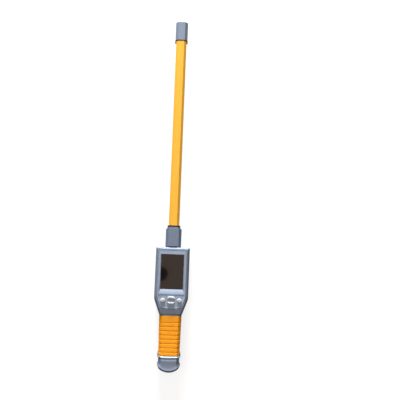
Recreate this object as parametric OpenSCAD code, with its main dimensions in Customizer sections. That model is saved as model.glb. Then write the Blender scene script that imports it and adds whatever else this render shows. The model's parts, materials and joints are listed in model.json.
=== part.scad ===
// Probe-type grain moisture meter: a display head with a ribbed grip, an end cap that
// pulls off to change the cells, and a long hollow probe with a capacitance sensor in its tip.
//
// The meter lies on its back: +X right, +Y towards the probe's tip, +Z out of the display.
// Every y below is measured from the crown of the end cap. from_crown() moves the whole
// model so that its origin is at the bottom centre of its bounding box.

/* [Overall] */
// Length from the end cap's crown to the probe's tip
total_len = 785.6; // [760:0.4:820]
/* [Head] */
// Width of the head at its shoulders
head_w = 74.4; // [73:0.1:75]
// Depth of the two head shells together
head_depth = 34; // [34:0.1:34.4]
// Distance from the crown to the head's top face
head_top_y = 269.6; // [268.4:0.2:270]
// Width of the steep chamfer around the head's front and back faces
head_chamfer = 4.5; // [4:0.1:5]
// Wall thickness of the head shells
wall = 2.6; // [2.4:0.1:2.8]

/* [Handle] */
// Width of the handle's core under the grip sleeve
handle_w = 42.6; // [42.4:0.1:43]
// Depth of the handle's core under the grip sleeve
handle_d = 26; // [25.8:0.1:26.2]
// Thickness of the grip sleeve where it meets the end cap
sleeve_t = 1.8; // [1.4:0.1:1.8]
// Number of grooves around the grip sleeve
groove_count = 8; // [6:1:9]

/* [Probe] */
// Width across the flats of the probe tube
tube_w = 23.5; // [23:0.1:23.6]
// Wall thickness of the probe tube
tube_wall = 2.2; // [1.8:0.1:2.4]
// Width across the flats of the tip cap
tip_w = 27.4; // [27:0.1:28]
// Length of the tip cap
tip_len = 44.8; // [42:0.2:48]

/* [Display and keys] */
// Width of the display window
window_w = 49.2; // [48.6:0.1:49.4]
// Height of the display window
window_h = 75.2; // [74:0.2:75.4]
// Height of each key above the keypad
key_rise = 2.8; // [2.2:0.1:3]
// Travel of a key
key_travel = 1.2; // [0.8:0.1:1.4]

/* [Hidden] */
KEYS = ["left", "right", "up", "down"];
$fn = 48;
gap = 0.1;      // clearance between parts that are assembled and stay put
run = 0.3;      // clearance around a part that moves
eps = 0.01;     // overshoot of a cutting tool

// Colours
blue_grey = "#8a96a8";
dark_grey = "#2c2f34";
orange = "#f79a28";
amber = "#fbc453";
pale = "#e6e8ec";
board_green = "#2f6b45";
steel = "#b9bcc0";
black = "#17181a";
maroon = "#4a1a14";
gold = "#c9a24a";

// Height of the probe's axis, and of the joint line between the shells, above the back
axis_z = head_depth / 2;

// Head outline, seen from the front
head_half = head_w / 2;
head_top_half = head_half - 0.2;
head_corner_r = 3;
head_chamfer_z = 7;
shoulder_r = 32;
shoulder_y = 163;
shoulder_turn = 21.8;
neck_half = 23.7;
neck_y = 120.5;
neck_slope_y = 137;
neck_drop = 3;

// Handle, grip sleeve and end cap
handle_chamfer = 5.6;
tail_y = 27;
handle_wall = 2.2;
core_chamfer = handle_chamfer - 1.2;
sleeve_y0 = 35.6;
sleeve_d = 30;
sleeve_top_grow = 1.2;
sleeve_chamfer = 6.6;
sleeve_corner_r = 4.5;
end_flare = 3;
groove_w = 1.6;
groove_depth = 0.9;
groove_first = 14.3;
groove_last = 7.3;
cap_rim_y = 35.1;
cap_rim_w = 50.8;
cap_rim_d = head_depth;
cap_chamfer = 7.5;
ear_top_y = 45;
ear_tip_w = 48.8;
waist_w = 44.8;
waist_d = 31;
foot_w = 50.2;
foot_d = head_depth;
foot_y = 12.5;
waist_y = 26;
crown_r = 32.8;
socket_y = 26.5;
plug_y = 34;
plug_wall = 2;
plug_gap = 0.5;
pocket_y = 20;
seal_y0 = 29;
seal_y1 = 31.2;
seal_groove = 1;
plug_w = handle_w - 2 * handle_wall - 2 * plug_gap;
plug_d = handle_d - 2 * handle_wall - 2 * plug_gap;
plug_chamfer = core_chamfer - 0.3;

// Probe
tube_y0 = 257;
tube_chamfer = 5.6;
tube_bore_chamfer = tube_chamfer - 1.2;
collar_y0 = head_top_y + 2;
collar_y1 = 310;
collar_w = 34.6;
collar_d = 30.4;
collar_chamfer = 6;
lip_y1 = 313.8;
lip_w = 29.4;
lip_d = 27.6;
tube_seal_y1 = 317.6;
spigot_w = 26.6;
spigot_chamfer = tube_chamfer + 0.8;
flange_y = head_top_y - wall - gap;
flange_w = 31;
flange_d = 20;
flange_t = 3;
tip_y0 = total_len - tip_len;
tip_wall = 3;
tip_chamfer = 6.4;
tip_lip = 2.4;
tip_seat_y = tip_y0 + 14;
mouth = 1.2;
mouth_depth = 5;
sensor_board_y = tip_seat_y + 3;
sensor_board_end_y = total_len - 8;
electrode_z = tip_w / 2 - tip_wall;
thermistor_r = 1.5;
lead_r = 1.25;

// Front stack, from the bezel's crest down to the board
face_z = head_depth;
seat_z = face_z - 1.4;
inner_face_z = face_z - wall;
crest_z = face_z + 2.2;
basin_z = face_z + 0.8;
lens_top_z = face_z - 0.6;
lens_t = 1.2;
lens_lap = 1.5;
lcd_w = 54.6;
lcd_h = 80.6;
lcd_top_z = inner_face_z + 0.2;
lcd_t = 3.8;
board_z = 22;
board_t = 1.6;
board_top_z = board_z + board_t;
board_half_w = 25.2;
board_y0 = 141;
board_y1 = 264.5;
mat_top_z = board_top_z + 1.2;
mat_half_w = 24.6;
mat_y0 = 143.5;
mat_y1 = 164.2;
window_y = 215.6;
spacer_places = [[22, 182], [22, 248]];
spacer_r = 2;
bezel_inset = 5.6;
bezel_top_inset = 7.8;
bezel_foot_y = 134.8;
bezel_step = 1.2;
basin_rim = 2.8;
chin_h = 10.5;
bezel_corner_x = 12.8;
bezel_corner_y = 149.9;
bezel_corner_r = 14.3;

// Keys
pad_y = 153.8;
side_key_x = 18.2;
side_key_a = 5.4;
side_key_b = 4.3;
side_key_tilt = 14;
pair_r = 8.8;
pair_half_gap = 2.9;
pair_reach = 5.8;
key_flange = 1.1;
key_flange_t = 1.2;
key_top_z = basin_z + key_rise;
key_foot_z = inner_face_z - 0.3 - key_flange_t;
pill_r = 1.7;
pill_t = 0.6;
pill_z = board_top_z + key_travel + 0.05;
dome_r = 2.2;

// Screws: [x, y] of the right-hand one of each pair
head_screws = [[28.4, 259.4], [28.4, 171], [21.8, 137.4]];
board_screw_places = [[22.6, 261], [22.6, 168.6]];
collar_screw_ys = [280, 298];
screw_r = 1.45;
screw_hole_r = 1.6;
screw_pilot_r = 1.5;
screw_grip = 7.5;
screw_head_r = 2.8;
screw_head_t = 2;
screw_len = 18;
counterbore_r = 3.1;
counterbore_d = 5;
recess_w = 0.7;
recess_d = 0.9;
boss_r = 3;
back_boss_r = 4.3;
board_boss_r = 2.4;
board_screw_r = 1;
board_screw_len = 6;
board_pilot_r = 1.05;
collar_back_z = axis_z - collar_d / 2;
collar_screw_sink = 1.7;

// Cells
cell_r = 7.2;
cell_len = 50.5;
cell_x = 7.7;      // half the distance between the columns
cell_y0 = 28.2;
nub_r = 2.7;
nub_len = 1.3;
contact_stem_r = 1.1;
contact_plate_t = 0.5;
spring_turns = 4;
spring_steps = 14;
spring_sides = 6;
spring_wire_r = 0.35;
spring_foot_r = 4.4;
spring_top_r = 2.8;
spring_foot_y = pocket_y + contact_plate_t + spring_wire_r;
spring_top_y = cell_y0 - spring_wire_r - 0.05;
carrier_y0 = 35;
carrier_end_y = cell_y0 + 2 * cell_len + 1;
carrier_wall = 1.2;
carrier_rib_t = 2.4;
lead_end_y = 141.5;

// ---- Outlines ----
function arc_points(cx, cy, r, from, to, steps) =
    [for (i = [0:steps]) let (a = from + (to - from) * i / steps) [cx + r * cos(a), cy + r * sin(a)]];

function mirrored(points) = [for (i = [len(points) - 1:-1:0]) [-points[i][0], points[i][1]]];

function full_outline(half) = concat(half, mirrored(half));

// A rectangle w by d with its corners cut off at 45 degrees
function octagon(w, d, c) = let (x = w / 2, y = d / 2) [
    [x, c - y], [x, y - c], [x - c, y], [c - x, y],
    [-x, y - c], [-x, c - y], [c - x, -y], [x - c, -y]
];

// A top corner whose edges are at x and y, rounded by r less the inset d
function top_corner(x, y, r, d) = let (left = max(r - d, 0.3))
    arc_points(x - d - left, y - d - left, left, 0, 90, 4);

// The head's right-hand outline, moved inwards by d
function head_half_outline(d) = concat(
    [[neck_half - d, neck_y + min(d, wall)]],
    arc_points(head_half - shoulder_r, shoulder_y, shoulder_r - d, -shoulder_turn, 0, 6),
    top_corner(head_top_half, head_top_y, head_corner_r, d)
);

// The bezel's right-hand outline, moved inwards by d
function bezel_half_outline(d) = concat(
    [[0, bezel_foot_y + d]],
    arc_points(bezel_corner_x, bezel_corner_y, bezel_corner_r - d, -82, -shoulder_turn, 5),
    arc_points(head_half - shoulder_r, shoulder_y, shoulder_r - bezel_inset - d, -shoulder_turn, 0, 5),
    top_corner(head_top_half - bezel_inset, head_top_y - bezel_top_inset, head_corner_r, d)
);

function ellipse_points(a, b) = [for (t = [0:12:348]) [a * cos(t), b * sin(t)]];

// The upper part of a circle of radius pair_r, cut off at pair_half_gap, grown by g
function half_moon(g) = let (r = pair_r + g, h = pair_half_gap - g, a = asin(h / r))
    arc_points(0, 0, r, a, 180 - a, 20);

// ---- Shared shapes ----
module from_crown() {
    translate([0, -total_len / 2, 0]) children();
}

// An octagonal bar along Y, centred on the probe's axis
module bar(w, d, c, y0, y1) {
    translate([0, y1, axis_z]) rotate([90, 0, 0]) linear_extrude(y1 - y0) polygon(octagon(w, d, c));
}

module rod_y(r, y0, y1, x = 0) {
    translate([x, y1, axis_z]) rotate([90, 0, 0]) cylinder(r = r, h = y1 - y0);
}

module post(p, r, z0, z1) {
    translate([p[0], p[1], z0]) cylinder(r = r, h = z1 - z0);
}

module slab(points, z0, z1) {
    translate([0, 0, z0]) linear_extrude(z1 - z0) polygon(points);
}

// A box that spans x from -half_x to half_x
module block(half_x, y0, y1, z0, z1) {
    translate([-half_x, y0, z0]) cube([2 * half_x, y1 - y0, z1 - z0]);
}

// A small box on the board, centred on p
module chip(p, w, l, z0, z1) {
    translate([p[0] - w / 2, p[1] - l / 2, z0]) cube([w, l, z1 - z0]);
}

module both_sides() {
    children();
    mirror([1, 0, 0]) children();
}

module key_outline(name, g) {
    if (name == "left") {
        translate([-side_key_x, pad_y]) rotate(side_key_tilt)
            polygon(ellipse_points(side_key_a + g, side_key_b + g));
    }
    if (name == "right") {
        translate([side_key_x, pad_y]) rotate(-side_key_tilt)
            polygon(ellipse_points(side_key_a + g, side_key_b + g));
    }
    if (name == "up") {
        translate([0, pad_y]) polygon(half_moon(g));
    }
    if (name == "down") {
        translate([0, pad_y]) rotate(180) polygon(half_moon(g));
    }
}

function key_centre(name) =
    name == "left" ? [-side_key_x, pad_y] :
    name == "right" ? [side_key_x, pad_y] :
    name == "up" ? [0, pad_y + pair_reach] : [0, pad_y - pair_reach];

module key_holes(z0, z1) {
    for (name = KEYS) {
        translate([0, 0, z0]) linear_extrude(z1 - z0) key_outline(name, run);
    }
}

// A screw that points up, with a cross recess in its head
module screw(p, z0, head_r, head_t, shank_r, length) {
    difference() {
        post(p, head_r, z0, z0 + head_t);
        for (turn = [0, 90]) {
            translate([p[0], p[1], z0]) rotate(turn)
                translate([-0.6 * head_r, -recess_w / 2, -eps]) cube([1.2 * head_r, recess_w, recess_d]);
        }
    }
    post(p, shank_r, z0 + head_t, z0 + head_t + length);
}

// ---- Housing ----
// The neck falls away from the head's front and back faces towards the grip
module neck_cuts(d) {
    for (front = [0, 1]) {
        translate([0, 0, front * head_depth]) mirror([0, 0, front])
            translate([-head_half, 0, 0]) rotate([90, 0, 90]) linear_extrude(head_w)
                polygon([[neck_slope_y, d], [neck_slope_y, -wall], [neck_y - wall, -wall],
                    [neck_y - wall, neck_drop + d], [neck_y, neck_drop + d]]);
    }
}

// The head and neck as one solid, with every surface moved inwards by d
module head_blank(d) {
    difference() {
        hull() {
            slab(full_outline(head_half_outline(d)), head_chamfer_z, head_depth - head_chamfer_z);
            slab(full_outline(head_half_outline(head_chamfer + 0.6 * d)), d, head_depth - d);
        }
        neck_cuts(d);
    }
}

module housing_shell() {
    difference() {
        union() {
            head_blank(0);
            bar(handle_w, handle_d, handle_chamfer, tail_y, neck_y + wall);
        }
        head_blank(wall);
        bar(handle_w - 2 * handle_wall, handle_d - 2 * handle_wall, core_chamfer,
            tail_y - eps, neck_y + wall + eps);
    }
}

module collar_opening() {
    bar(spigot_w + 2 * gap, spigot_w + 2 * gap, spigot_chamfer, head_top_y - 2 * wall, head_top_y + eps);
}

module front_shell() {
    color(blue_grey) difference() {
        union() {
            housing_shell();
            both_sides() {
                for (p = head_screws) {
                    post(p, boss_r, axis_z, inner_face_z + eps);
                }
                for (p = board_screw_places) {
                    post(p, board_boss_r, board_top_z, inner_face_z + eps);
                }
            }
        }
        translate([-head_w, 0, -eps]) cube([2 * head_w, total_len, axis_z + eps]);
        slab(full_outline(bezel_half_outline(-gap)), seat_z, face_z + eps);
        translate([0, window_y, 0])
            block(lcd_w / 2 + gap, -lcd_h / 2 - gap, lcd_h / 2 + gap, inner_face_z - wall, face_z);
        key_holes(inner_face_z - wall, face_z);
        collar_opening();
        both_sides() {
            for (p = head_screws) {
                post(p, screw_pilot_r, axis_z - eps, axis_z + screw_grip);
            }
            for (p = board_screw_places) {
                post(p, board_pilot_r, board_top_z - eps, inner_face_z - 1);
            }
        }
    }
}

module back_shell() {
    color(blue_grey) difference() {
        union() {
            housing_shell();
            both_sides() {
                for (p = head_screws) {
                    post(p, back_boss_r, wall - eps, axis_z);
                }
            }
        }
        translate([-head_w, 0, axis_z]) cube([2 * head_w, total_len, axis_z + eps]);
        collar_opening();
        both_sides() {
            for (p = head_screws) {
                post(p, screw_hole_r, 0, axis_z + eps);
                post(p, counterbore_r, -eps, counterbore_d);
            }
        }
    }
}

module housing_screws() {
    color(steel) both_sides() {
        for (p = head_screws) {
            screw(p, counterbore_d - screw_head_t, screw_head_r, screw_head_t, screw_r, screw_len);
        }
    }
}

// ---- Display and keypad ----
module front_bezel() {
    color(blue_grey) difference() {
        union() {
            slab(full_outline(bezel_half_outline(0)), seat_z, basin_z);
            difference() {
                slab(full_outline(bezel_half_outline(bezel_step)), basin_z, crest_z);
                // the keypad lies in a basin below the chin
                intersection() {
                    slab(full_outline(bezel_half_outline(bezel_step + basin_rim)), basin_z, crest_z + eps);
                    block(head_half, 0, window_y - window_h / 2 - chin_h, basin_z, crest_z + eps);
                }
            }
        }
        translate([0, window_y, 0]) {
            block(window_w / 2, -window_h / 2, window_h / 2, seat_z - eps, crest_z + eps);
            block(window_w / 2 + lens_lap + gap, -window_h / 2 - lens_lap - gap,
                window_h / 2 + lens_lap + gap, seat_z - eps, lens_top_z);
        }
        key_holes(seat_z - eps, crest_z);
    }
}

module display_lens() {
    color(black) translate([0, window_y, 0])
        block(window_w / 2 + lens_lap, -window_h / 2 - lens_lap, window_h / 2 + lens_lap,
            lens_top_z - lens_t, lens_top_z);
}

module display_gasket() {
    color(dark_grey) translate([0, window_y, 0]) difference() {
        block(window_w / 2 + lens_lap, -window_h / 2 - lens_lap, window_h / 2 + lens_lap,
            lcd_top_z, lens_top_z - lens_t);
        block(window_w / 2, -window_h / 2, window_h / 2, lcd_top_z - eps, lens_top_z);
    }
}

module lcd_module() {
    color(steel) translate([0, window_y, 0])
        block(lcd_w / 2, -lcd_h / 2, lcd_h / 2, lcd_top_z - lcd_t, lcd_top_z);
}

module display_spacers() {
    color(pale) both_sides() {
        for (p = spacer_places) {
            post(p, spacer_r, board_top_z, lcd_top_z - lcd_t);
        }
    }
}

module main_board() {
    color(board_green) difference() {
        block(board_half_w, board_y0, board_y1, board_z, board_top_z);
        block(flange_w / 2 + 1, tube_y0 - 0.5, board_y1 + eps, board_z - eps, board_top_z + eps);
        both_sides() {
            for (p = board_screw_places) {
                post(p, board_screw_r + run, board_z - eps, board_top_z + eps);
            }
        }
    }
}

// Display socket above the board; processor, flash chip, regulator and coil below it
module board_components() {
    color(dark_grey) {
        chip([0, 170], 22, 3.6, board_top_z, board_top_z + 2.2);
        chip([8, 210], 10, 10, board_z - 1.6, board_z);
        chip([-8, 230], 5.4, 5.2, board_z - 1.8, board_z);
        chip([14, 161], 6.6, 6.5, board_z - 1.6, board_z);
        chip([16, 229], 4, 9, board_z - 3, board_z);
    }
}

module board_screws() {
    color(steel) both_sides() {
        for (p = board_screw_places) {
            screw(p, board_z - 1.5, 2.2, 1.5, board_screw_r, board_screw_len);
        }
    }
}

module buzzer() {
    color(black) post([-14, 195], 6, board_z - 3.4, board_z);
}

module keypad_mat() {
    color(dark_grey) difference() {
        block(mat_half_w, mat_y0, mat_y1, board_top_z, mat_top_z);
        for (name = KEYS) {
            post(key_centre(name), dome_r, board_top_z - eps, mat_top_z + eps);
        }
    }
}

// The hollow rubber dome that carries a key and springs it back
module key_boot(name) {
    color(dark_grey) difference() {
        translate([key_centre(name)[0], key_centre(name)[1], mat_top_z])
            cylinder(r1 = 3.2, r2 = 2.5, h = key_foot_z - mat_top_z);
        post(key_centre(name), dome_r, mat_top_z - eps, pill_z + pill_t);
    }
}

// The carbon pill that closes the contact on the board when its key is pressed home
module key_pill(name) {
    color(black) post(key_centre(name), pill_r, pill_z, pill_z + pill_t);
}

module key(name) {
    color(pale) {
        translate([0, 0, key_foot_z + key_flange_t])
            linear_extrude(key_top_z - key_foot_z - key_flange_t) key_outline(name, 0);
        translate([0, 0, key_foot_z]) linear_extrude(key_flange_t) key_outline(name, key_flange);
    }
}

module left_key_boot() key_boot("left");
module right_key_boot() key_boot("right");
module up_key_boot() key_boot("up");
module down_key_boot() key_boot("down");
module left_key_pill() key_pill("left");
module right_key_pill() key_pill("right");
module up_key_pill() key_pill("up");
module down_key_pill() key_pill("down");
module left_key() key("left");
module right_key() key("right");
module up_key() key("up");
module down_key() key("down");

// ---- Grip and cells ----
// A prism with rounded lower corners that flares upwards: the grip's lower end, seen from the front
module rounded_end(half, r, y0) {
    slab(concat(arc_points(r - half, y0 + r, r, 180, 270, 5), arc_points(half - r, y0 + r, r, 270, 360, 5),
        [[half + end_flare, neck_y], [-half - end_flare, neck_y]]), -eps, head_depth + eps);
}

// The sleeve's outside, which widens towards the neck, moved inwards by d
module sleeve_blank(d) {
    w = handle_w + 2 * sleeve_t - 2 * d;
    depth = sleeve_d - 2 * d;
    hull() {
        bar(w, depth, sleeve_chamfer, sleeve_y0, ear_top_y + 1);
        bar(w + 2 * sleeve_top_grow, depth, sleeve_chamfer, neck_y - 8, neck_y - gap);
    }
}

module grip_sleeve() {
    pitch = (neck_y - groove_first - sleeve_y0 - groove_last) / (groove_count - 1);
    color(orange) difference() {
        intersection() {
            union() {
                sleeve_blank(groove_depth);
                difference() {
                    sleeve_blank(0);
                    for (i = [0:groove_count - 1]) {
                        y = neck_y - groove_first - i * pitch;
                        block(head_half, y - groove_w / 2, y + groove_w / 2, 0, head_depth);
                    }
                }
            }
            rounded_end(handle_w / 2 + sleeve_t, sleeve_corner_r, sleeve_y0);
        }
        bar(handle_w, handle_d, handle_chamfer, sleeve_y0 - 1, neck_y + 1);
    }
}

module battery_carrier() {
    inner_w = handle_w - 2 * handle_wall - 2 * gap;
    inner_d = handle_d - 2 * handle_wall - 2 * gap;
    color(black) difference() {
        union() {
            both_sides() rod_y(cell_r + gap + carrier_wall, carrier_y0, carrier_end_y + 2, cell_x);
            for (y = [carrier_y0, (carrier_y0 + neck_y) / 2, neck_y - carrier_rib_t]) {
                bar(inner_w, inner_d, core_chamfer, y, y + carrier_rib_t);
            }
        }
        both_sides() {
            rod_y(cell_r + gap, carrier_y0 - eps, carrier_end_y, cell_x);
            rod_y(contact_stem_r + gap, carrier_end_y - eps, carrier_end_y + 2 + eps, cell_x);
        }
    }
}

// Four cells in two columns; a column's cells point the same way
module battery_cells() {
    color(steel) for (side = [-1, 1], n = [0, 1]) {
        y0 = cell_y0 + n * (cell_len + gap);
        body_y0 = side < 0 ? y0 + nub_len : y0;
        nub_y0 = side < 0 ? y0 : y0 + cell_len - nub_len;
        rod_y(cell_r, body_y0, body_y0 + cell_len - nub_len, side * cell_x);
        rod_y(nub_r, nub_y0, nub_y0 + nub_len, side * cell_x);
    }
}

module battery_contacts() {
    color(gold) both_sides() {
        rod_y(5, carrier_end_y - 0.5, carrier_end_y, cell_x);
        rod_y(contact_stem_r, carrier_end_y, carrier_end_y + 4, cell_x);
    }
}

module battery_leads() {
    color("#b02020") both_sides() rod_y(0.8, carrier_end_y + 4, lead_end_y, cell_x);
}

module battery_connector() {
    color(pale) block(10, lead_end_y, lead_end_y + 6, axis_z - 2, board_z);
}

// ---- End cap ----
// The cap's underside, seen from the front, is an arc
module crown_prism() {
    turn = asin(foot_w / 2 / crown_r);
    slab(concat(arc_points(0, crown_r, crown_r, -90 - turn, -90 + turn, 16),
        [[foot_w / 2, crown_r], [-foot_w / 2, crown_r]]), -eps, head_depth + eps);
}

module end_cap_blank() {
    difference() {
        intersection() {
            bar(cap_rim_w, cap_rim_d, cap_chamfer, waist_y, ear_top_y);
            slab([[cap_rim_w / 2, waist_y], [cap_rim_w / 2, cap_rim_y + 2], [ear_tip_w / 2, ear_top_y],
                [-ear_tip_w / 2, ear_top_y], [-cap_rim_w / 2, cap_rim_y + 2], [-cap_rim_w / 2, waist_y]],
                -eps, head_depth + eps);
        }
        rounded_end(handle_w / 2 + sleeve_t + run, sleeve_corner_r + run, cap_rim_y);
    }
    bar(waist_w, waist_d, cap_chamfer - 1.5, foot_y, waist_y);
    intersection() {
        bar(foot_w, foot_d, cap_chamfer, 0, foot_y);
        crown_prism();
    }
}

module end_cap() {
    color(blue_grey) difference() {
        end_cap_blank();
        difference() {
            bar(handle_w + 2 * run, handle_d + 2 * run, handle_chamfer, socket_y, ear_top_y + eps);
            // the plug that fits inside the handle's end, with a groove for the seal
            difference() {
                bar(plug_w, plug_d, plug_chamfer, socket_y - eps, plug_y);
                difference() {
                    bar(plug_w + eps, plug_d + eps, plug_chamfer, seal_y0, seal_y1);
                    bar(plug_w - 2 * seal_groove, plug_d - 2 * seal_groove, plug_chamfer, seal_y0, seal_y1);
                }
            }
        }
        bar(plug_w - 2 * plug_wall, plug_d - 2 * plug_wall, plug_chamfer - 1, pocket_y, ear_top_y);
    }
}

module cap_seal() {
    outer_w = handle_w - 2 * handle_wall - 2 * gap;
    outer_d = handle_d - 2 * handle_wall - 2 * gap;
    color(black) difference() {
        bar(outer_w, outer_d, core_chamfer, seal_y0 + gap, seal_y1 - gap);
        bar(plug_w - 2 * seal_groove, plug_d - 2 * seal_groove, plug_chamfer, seal_y0, seal_y1);
    }
}

module cap_contact_plate() {
    color(gold) block(14, pocket_y, pocket_y + contact_plate_t, axis_z - 5, axis_z + 5);
}

// A conical coil swept as one closed tube of spring_sides facets round
function spring_ring(t) =
    let (turn = 360 * spring_turns * t, r = spring_foot_r + (spring_top_r - spring_foot_r) * t,
        y = spring_foot_y + (spring_top_y - spring_foot_y) * t)
    [for (k = [0:spring_sides - 1]) let (b = 360 * k / spring_sides, out = r + spring_wire_r * cos(b))
        [out * cos(turn), y + spring_wire_r * sin(b), out * sin(turn)]];

module spring() {
    rings = spring_turns * spring_steps;
    points = [for (i = [0:rings]) each spring_ring(i / rings)];
    walls = [for (i = [0:rings - 1], k = [0:spring_sides - 1])
        let (a = i * spring_sides + k, b = i * spring_sides + (k + 1) % spring_sides)
        [a, b, b + spring_sides, a + spring_sides]];
    foot = [for (k = [spring_sides - 1:-1:0]) k];
    top = [for (k = [0:spring_sides - 1]) rings * spring_sides + k];
    polyhedron(points, concat(walls, [foot, top]));
}

module cap_springs() {
    color(steel) for (side = [-1, 1]) {
        translate([side * cell_x, 0, axis_z]) spring();
    }
}

// ---- Probe ----
module probe_collar() {
    color(blue_grey) difference() {
        union() {
            bar(collar_w, collar_d, collar_chamfer, collar_y0, collar_y1);
            bar(lip_w, lip_d, collar_chamfer, collar_y1, lip_y1);
            bar(spigot_w, spigot_w, spigot_chamfer, flange_y, collar_y0);
            // the bore cuts this bar into two lugs that hold the collar in the head
            bar(flange_w, flange_d, collar_chamfer, flange_y - flange_t, flange_y);
        }
        bar(tube_w + 2 * gap, tube_w + 2 * gap, tube_chamfer, flange_y - flange_t - eps, lip_y1 + eps);
        for (y = collar_screw_ys) {
            post([0, y], screw_hole_r, 0, axis_z);
            post([0, y], screw_head_r + gap, 0, collar_back_z + collar_screw_sink);
        }
    }
}

module collar_gasket() {
    color(black) difference() {
        bar(collar_w - 1.2, collar_d - 1.2, collar_chamfer, head_top_y, collar_y0);
        bar(spigot_w + 2 * gap, spigot_w + 2 * gap, spigot_chamfer, head_top_y - eps, collar_y0 + eps);
    }
}

module collar_screws() {
    color(steel) for (y = collar_screw_ys) {
        screw([0, y], collar_back_z + gap, screw_head_r, collar_screw_sink - gap, screw_r, 5);
    }
}

// The rubber ring that wipes the tube at the collar's mouth
module tube_seal() {
    color(black) difference() {
        bar(lip_w - 1, lip_d - 1, collar_chamfer, lip_y1, tube_seal_y1);
        bar(tube_w + gap, tube_w + gap, tube_chamfer, lip_y1 - eps, tube_seal_y1 + eps);
    }
}

module probe_tube() {
    bore_w = tube_w - 2 * tube_wall;
    color(amber) difference() {
        bar(tube_w, tube_w, tube_chamfer, tube_y0, tip_seat_y);
        bar(bore_w, bore_w, tube_bore_chamfer, tube_y0 - eps, tip_seat_y + eps);
        for (y = collar_screw_ys) {
            post([0, y], screw_hole_r, 0, axis_z);
        }
    }
}

module tube_plug() {
    w = tube_w - 2 * tube_wall - gap;
    color(dark_grey) difference() {
        bar(w, w, tube_bore_chamfer, tube_y0, head_top_y);
        rod_y(lead_r + gap, tube_y0 - eps, head_top_y + eps);
    }
}

module sensor_lead() {
    color(black) rod_y(lead_r, tube_y0 - 4, sensor_board_y);
}

module lead_connector() {
    color(pale) block(4, tube_y0 - 10, tube_y0 - 4, axis_z - 2, board_z);
}

module tip_cap() {
    color(blue_grey) difference() {
        bar(tip_w, tip_w, tip_chamfer, tip_y0 + tip_lip, total_len);
        bar(tube_w + 2 * gap, tube_w + 2 * gap, tube_chamfer, tip_y0, tip_seat_y + gap);
        bar(tube_w + 2 * mouth, tube_w + 2 * mouth, tube_chamfer + 0.6, tip_y0, tip_y0 + mouth_depth);
        bar(tip_w - 2 * tip_wall, tip_w - 2 * tip_wall, tube_chamfer - 1, tip_seat_y, total_len - tip_wall);
        rod_y(thermistor_r + gap, sensor_board_end_y, total_len - 1);
    }
}

// The rubber ring between the tip cap and the tube, with a collar that shows below the cap
module tip_seal() {
    inner_w = tube_w + 2 * mouth - gap;
    color(maroon) difference() {
        union() {
            bar(tip_w + 1, tip_w + 1, tip_chamfer, tip_y0, tip_y0 + tip_lip);
            bar(inner_w, inner_w, tube_chamfer + 0.6, tip_y0 + tip_lip - eps, tip_y0 + mouth_depth);
        }
        bar(tube_w + gap, tube_w + gap, tube_chamfer, tip_y0 - eps, tip_y0 + mouth_depth + eps);
    }
}

module sensor_board() {
    color(board_green)
        block(6.5, sensor_board_y, sensor_board_end_y, axis_z - board_t / 2, axis_z + board_t / 2);
}

// Two brass plates that face the grain through the tip cap's front and back walls
module electrode_plates() {
    color(gold) for (side = [0, 1]) {
        translate([0, 0, axis_z]) mirror([0, 0, side])
            block(5.5, sensor_board_y, total_len - 5, electrode_z - 0.5, electrode_z);
    }
}

// Two blocks that press the plates against the walls and hold the board between them
module electrode_insulator() {
    color(pale) for (side = [0, 1]) {
        translate([0, 0, axis_z]) mirror([0, 0, side])
            block(5, sensor_board_y + 1, sensor_board_end_y, board_t / 2, electrode_z - 0.5);
    }
}

module temperature_sensor() {
    color(steel) rod_y(thermistor_r, sensor_board_end_y, total_len - 1.2);
}

from_crown() front_shell();
from_crown() back_shell();
from_crown() housing_screws();
from_crown() front_bezel();
from_crown() display_lens();
from_crown() display_gasket();
from_crown() lcd_module();
from_crown() display_spacers();
from_crown() main_board();
from_crown() board_components();
from_crown() board_screws();
from_crown() buzzer();
from_crown() keypad_mat();
from_crown() left_key_boot();
from_crown() right_key_boot();
from_crown() up_key_boot();
from_crown() down_key_boot();
from_crown() left_key_pill();
from_crown() right_key_pill();
from_crown() up_key_pill();
from_crown() down_key_pill();
from_crown() left_key();
from_crown() right_key();
from_crown() up_key();
from_crown() down_key();
from_crown() grip_sleeve();
from_crown() battery_carrier();
from_crown() battery_cells();
from_crown() battery_contacts();
from_crown() battery_leads();
from_crown() battery_connector();
from_crown() end_cap();
from_crown() cap_contact_plate();
from_crown() cap_springs();
from_crown() cap_seal();
from_crown() probe_collar();
from_crown() collar_gasket();
from_crown() collar_screws();
from_crown() tube_seal();
from_crown() probe_tube();
from_crown() tube_plug();
from_crown() sensor_lead();
from_crown() lead_connector();
from_crown() tip_cap();
from_crown() tip_seal();
from_crown() sensor_board();
from_crown() electrode_plates();
from_crown() electrode_insulator();
from_crown() temperature_sensor();
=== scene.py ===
"""Looks for the grain moisture meter: its visible pieces, materials, light and camera.

Shapes are worked out in millimetres, with y measured from the crown of the end cap as in the
CAD source, and place() carries them into the row frame.
"""
import json
import math

import bmesh
import bpy
from mathutils import Matrix, Vector
from mathutils.geometry import delaunay_2d_cdt


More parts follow.
